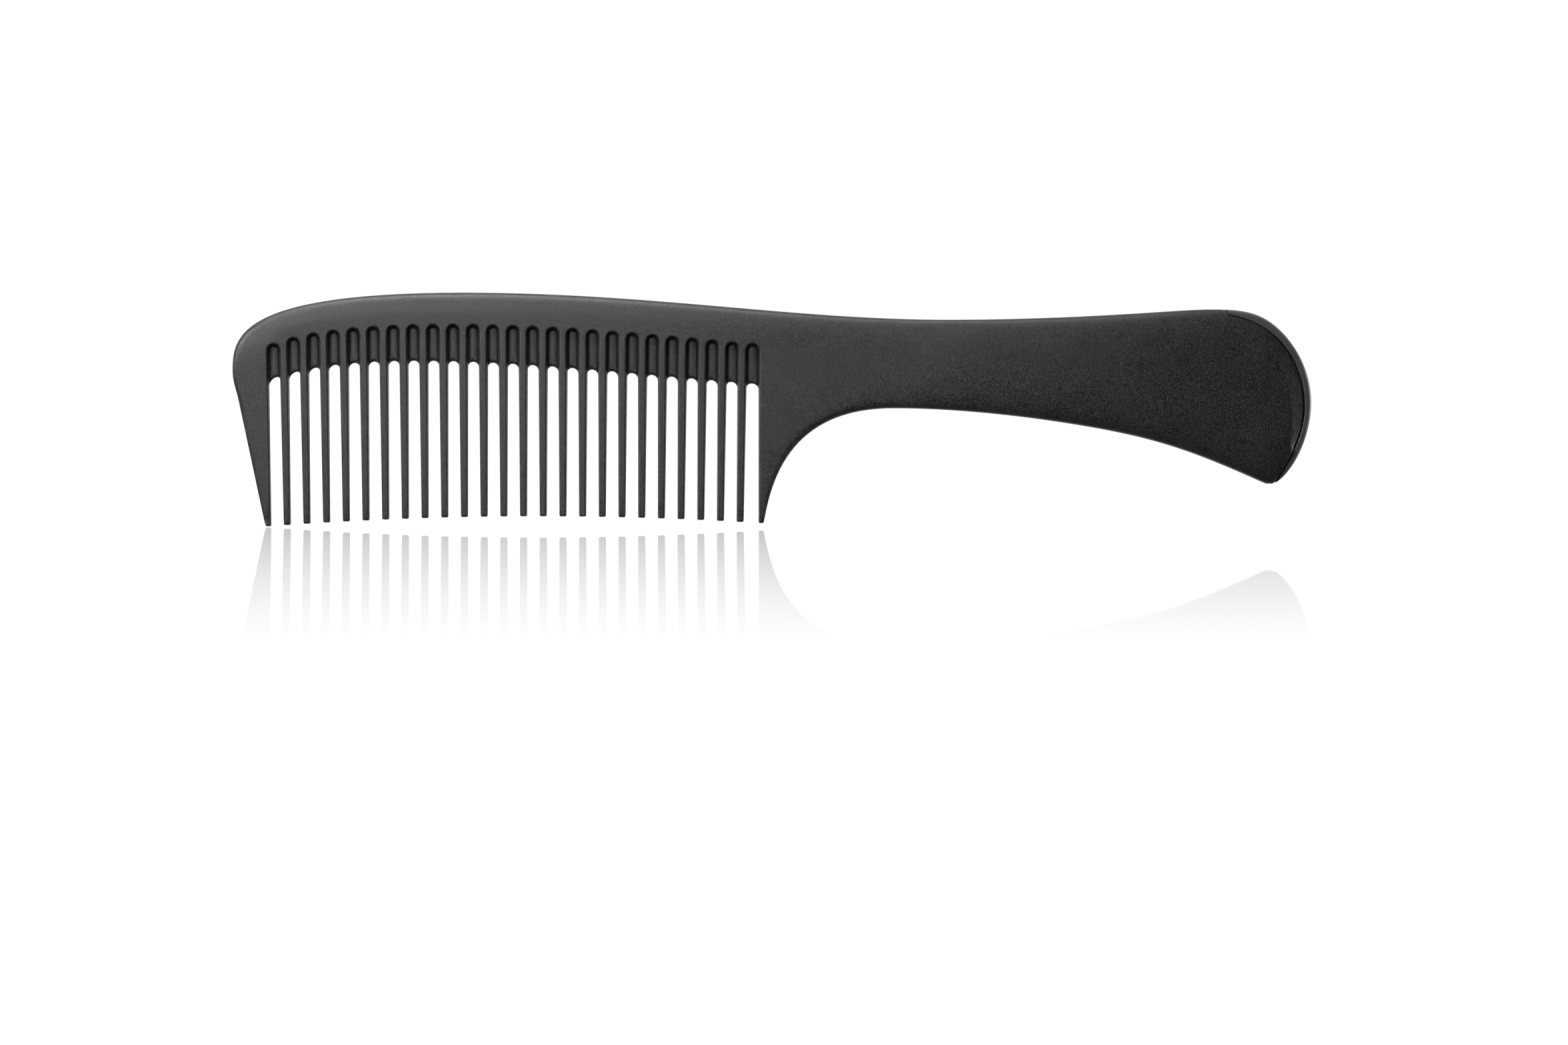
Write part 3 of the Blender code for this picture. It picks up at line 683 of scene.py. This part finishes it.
class Sheet:
    def __init__(self, owner):
        # the nodes of a new material or of the world
        self.owner = owner
        owner.use_nodes = True
        self.tree = owner.node_tree

    def put(self, socket, value):
        if isinstance(value, Wire):
            self.tree.links.new(value.socket, socket)
        else:
            socket.default_value = value

    def add(self, kind, settings, *values, output=0, **named):
        node = self.tree.nodes.new(kind)
        for key, value in settings.items():
            setattr(node, key, value)
        for socket, value in zip(node.inputs, values):
            self.put(socket, value)
        for key, value in named.items():
            self.put(node.inputs[key.replace("_", " ")], value)
        return Wire(self, node.outputs[output])

    def feed(self, **values):
        for key, value in values.items():
            self.put(self.tree.nodes["Principled BSDF"].inputs[key.replace("_", " ")], value)

    def finish(self, surface):
        self.put(self.tree.nodes["Material Output"].inputs[0], surface)

    def objectPlace(self):
        return self.add("ShaderNodeTexCoord", {}, output=3)

    def parts(self, vector):
        # a vector's y and z
        y = self.add("ShaderNodeSeparateXYZ", {}, vector, output=1)
        return y, Wire(self, y.socket.node.outputs[2])

    def noise(self, where, scale, detail=2.0, rough=0.5):
        return self.add("ShaderNodeTexNoise", {}, Vector=where, Scale=scale, Detail=detail, Roughness=rough)

    def blend(self, share, a, b):
        mixed = self.add("ShaderNodeMix", {"data_type": "RGBA"}, share)
        node = mixed.socket.node
        self.put(node.inputs[6], a)
        self.put(node.inputs[7], b)
        return Wire(self, node.outputs[2])


grained = {
    "dark": (0.0008, 0.0008, 0.0009, 1), "light": (0.0270, 0.0270, 0.0275, 1),
    "worn": (0.030, 0.030, 0.0305, 1), "wornShare": 0.5, "wornShine": 0.06,
    "grain": 5200.0, "pebble": 2900.0, "mottle": 190.0, "cloud": 32.0, "speckFrom": 0.43, "speckTo": 0.60,
    "roughness": 0.52, "roughSpeck": 0.22, "roughMottle": 0.12, "roughCloud": 0.08,
    "bumpStrength": 0.8, "bumpDepth": 0.00003,
}
# the cap rim's dark and light colours are far paler than the moulding's: a painted reflection standing in for
# the light its rounded rim catches
rim = {
    "dark": (0.062, 0.062, 0.063, 1), "light": (0.078, 0.078, 0.079, 1),
    "grain": 7000.0, "mottle": 260.0, "cloud": 60.0,
    "roughness": 0.38, "roughMottle": 0.12, "roughCloud": 0.08, "bumpStrength": 0.4, "bumpDepth": 0.000006,
}


def grainedPlastic(value):
    # moulded black plastic with a fine eroded grain, a little paler and smoother on its worn edges
    sheet = Sheet(bpy.data.materials.new("grainedPlastic"))
    place = sheet.objectPlace()
    grain = sheet.noise(place, value["grain"], 2.0, 0.6)
    pebble = sheet.noise(place, value["pebble"], 1.0, 0.5)
    mottle = sheet.noise(place, value["mottle"], 3.0, 0.6)
    cloud = sheet.noise(place, value["cloud"], 2.0, 0.5)
    edge = sheet.add("ShaderNodeAttribute", {"attribute_name": "edge"}, output=2)
    wear = (edge * mottle.clamped(0.35, 0.7)).clamped(0.0, 1.0)
    speck = (grain * 0.5 + pebble * 0.5).clamped(value["speckFrom"], value["speckTo"])
    tone = speck * 0.75 + mottle.clamped(0.25, 0.75) * 0.15 + cloud.clamped(0.3, 0.7) * 0.10
    colour = sheet.blend(tone, value["dark"], value["light"])
    colour = sheet.blend(wear * value["wornShare"], colour, value["worn"])
    rough = value["roughness"] + (speck - 0.5) * value["roughSpeck"] + (mottle - 0.5) * value["roughMottle"]
    rough = rough + (cloud - 0.5) * value["roughCloud"] - wear * value["wornShine"]
    height = grain * 0.5 + pebble
    bump = sheet.add(
        "ShaderNodeBump", {}, Strength=value["bumpStrength"], Distance=value["bumpDepth"], Height=height
    )
    sheet.feed(Base_Color=colour, Roughness=rough, Normal=bump)
    return sheet.owner


def smoothPlasticPaintedReflection(value):
    # the same black plastic from a polished tool, smoother, with a paler base colour that is a painted
    # reflection of the bright side on the rounded rim
    sheet = Sheet(bpy.data.materials.new("smoothPlasticPaintedReflection"))
    place = sheet.objectPlace()
    grain = sheet.noise(place, value["grain"], 1.0, 0.5)
    mottle = sheet.noise(place, value["mottle"], 3.0, 0.6)
    cloud = sheet.noise(place, value["cloud"], 2.0, 0.5)
    colour = sheet.blend(mottle.clamped(0.3, 0.7) * 0.6 + grain * 0.4, value["dark"], value["light"])
    rough = value["roughness"] + (mottle - 0.5) * value["roughMottle"] + (cloud - 0.5) * value["roughCloud"]
    bump = sheet.add(
        "ShaderNodeBump", {}, Strength=value["bumpStrength"], Distance=value["bumpDepth"], Height=grain
    )
    sheet.feed(Base_Color=colour, Roughness=rough, Normal=bump)
    return sheet.owner


moulding.data.materials.append(grainedPlastic(grained))
capRim.data.materials.append(smoothPlasticPaintedReflection(rim))
print("materials made")


# Floor, light and camera.
studio = {
    "floorSize": 18, "floorDrop": 0.0001, "floorGlow": 1.07, "haze": 9.0,
    "mirrorNear": 0.52, "mirrorFar": 0.02, "nearY": -0.06, "farY": -0.85, "behindY": 0.04, "hazeY": 0.3,
    "backdropRadius": 8, "page": 1.05, "back": 1.0, "front": 0.01, "up": 0.3, "below": 0.12,
}
white = (1, 1, 1, 1)
bpy.ops.object.select_all(action="DESELECT")
bpy.ops.mesh.primitive_plane_add(size=studio["floorSize"], location=(0, 0, cadLow.z - studio["floorDrop"]))
floor = bpy.context.object
floor.name = "floor"
bpy.ops.mesh.primitive_uv_sphere_add(segments=48, ring_count=24, radius=studio["backdropRadius"])
backdrop = bpy.context.object
backdrop.name = "backdrop"
for sweep in (floor, backdrop):  # they are only seen, and light comes from the world and the softboxes
    sweep.visible_diffuse = False
    sweep.visible_glossy = False
    sweep.visible_shadow = False


def paleFloor(value):
    # white, with a mirror that fades away towards the front and behind
    sheet = Sheet(bpy.data.materials.new("paleFloor"))
    place = sheet.objectPlace()
    paint = sheet.blend(sheet.noise(place, value["haze"]), (0.05, 0.05, 0.05, 1), (0.06, 0.06, 0.06, 1))
    sheet.feed(Base_Color=paint, Roughness=0.9, Specular_IOR_Level=0.0)
    sheet.feed(Emission_Color=white, Emission_Strength=value["floorGlow"])
    mirror = sheet.add("ShaderNodeBsdfGlossy", {}, Color=white, Roughness=0.01)
    along, _ = sheet.parts(place)
    near = along.clamped(value["farY"], value["nearY"]) * along.clamped(value["hazeY"], value["behindY"])
    share = value["mirrorFar"] + near * (value["mirrorNear"] - value["mirrorFar"])
    paper = Wire(sheet, sheet.tree.nodes["Principled BSDF"].outputs[0])
    sheet.finish(sheet.add("ShaderNodeMixShader", {}, share, paper, mirror))
    return sheet.owner


def palePage(value):
    sheet = Sheet(bpy.data.materials.new("palePage"))
    sheet.finish(sheet.add("ShaderNodeEmission", {}, white, value["page"]))
    return sheet.owner


def roomLight(value):
    # a white sweep behind and above, and a dim room in front
    world = bpy.data.worlds.new("studio")
    sheet = Sheet(world)
    y, z = sheet.parts(sheet.add("ShaderNodeTexCoord", {}, output=0))
    behind, above, below = y.clamped(0.0, 0.4), z.clamped(0.3, 0.95), z.clamped(-0.02, -0.5)
    strength = value["front"] + behind * (value["back"] - value["front"])
    strength = strength + above * (value["up"] - value["front"]) + below * value["below"]
    ground = sheet.tree.nodes["Background"]
    sheet.put(ground.inputs["Strength"], strength)
    sheet.put(ground.inputs["Color"], white)
    return world


floor.data.materials.append(paleFloor(studio))
backdrop.data.materials.append(palePage(studio))
bpy.context.scene.world = roomLight(studio)

# Each light has a size, a place, a power, the point it looks at, and its spread in degrees.
lights = {
    "leftKey": ((0.2, 0.2), (-0.36, -0.30, 0.22), 0.17, (-0.05, 0, 0.04), 36),
    "frontKey": ((0.14, 0.14), (-0.13, -0.42, 0.11), 0.042, (-0.062, 0, 0.035), 42),
    "topLight": ((0.25, 0.15), (-0.10, -0.16, 0.36), 0.52, (-0.055, 0, 0.045), 100),
    "heelLight": ((0.1, 0.2), (0.6, 0.06, 0.05), 0.42, (0.1, 0, 0.03), 90),
}
view = {
    "lens": 168.75, "sensor": 36, "near": 0.01, "far": 200,
    "place": (0.0025, -1.5, 0.024), "aim": (0.0025, 0, 0.0008),
}


def aimed(name, data, place, aim):
    # a new light or camera at a place, looking at a point
    made = bpy.data.objects.new(name, data)
    made.location = place
    made.rotation_euler = (Vector(aim) - Vector(place)).to_track_quat("-Z", "Y").to_euler()
    bpy.context.scene.collection.objects.link(made)
    return made


for name, (size, place, power, aim, spread) in lights.items():
    light = bpy.data.lights.new(name, "AREA")
    light.spread = math.radians(spread)
    light.shape = "RECTANGLE"
    light.size, light.size_y = size
    light.energy = power
    aimed(name, light, place, aim)

lens = bpy.data.cameras.new("camera")
lens.lens, lens.sensor_width = view["lens"], view["sensor"]
lens.clip_start, lens.clip_end = view["near"], view["far"]
bpy.context.scene.camera = aimed("camera", lens, view["place"], view["aim"])
bpy.context.scene.view_settings.view_transform = "Standard"
print("studio made:", len(lights), "lights")
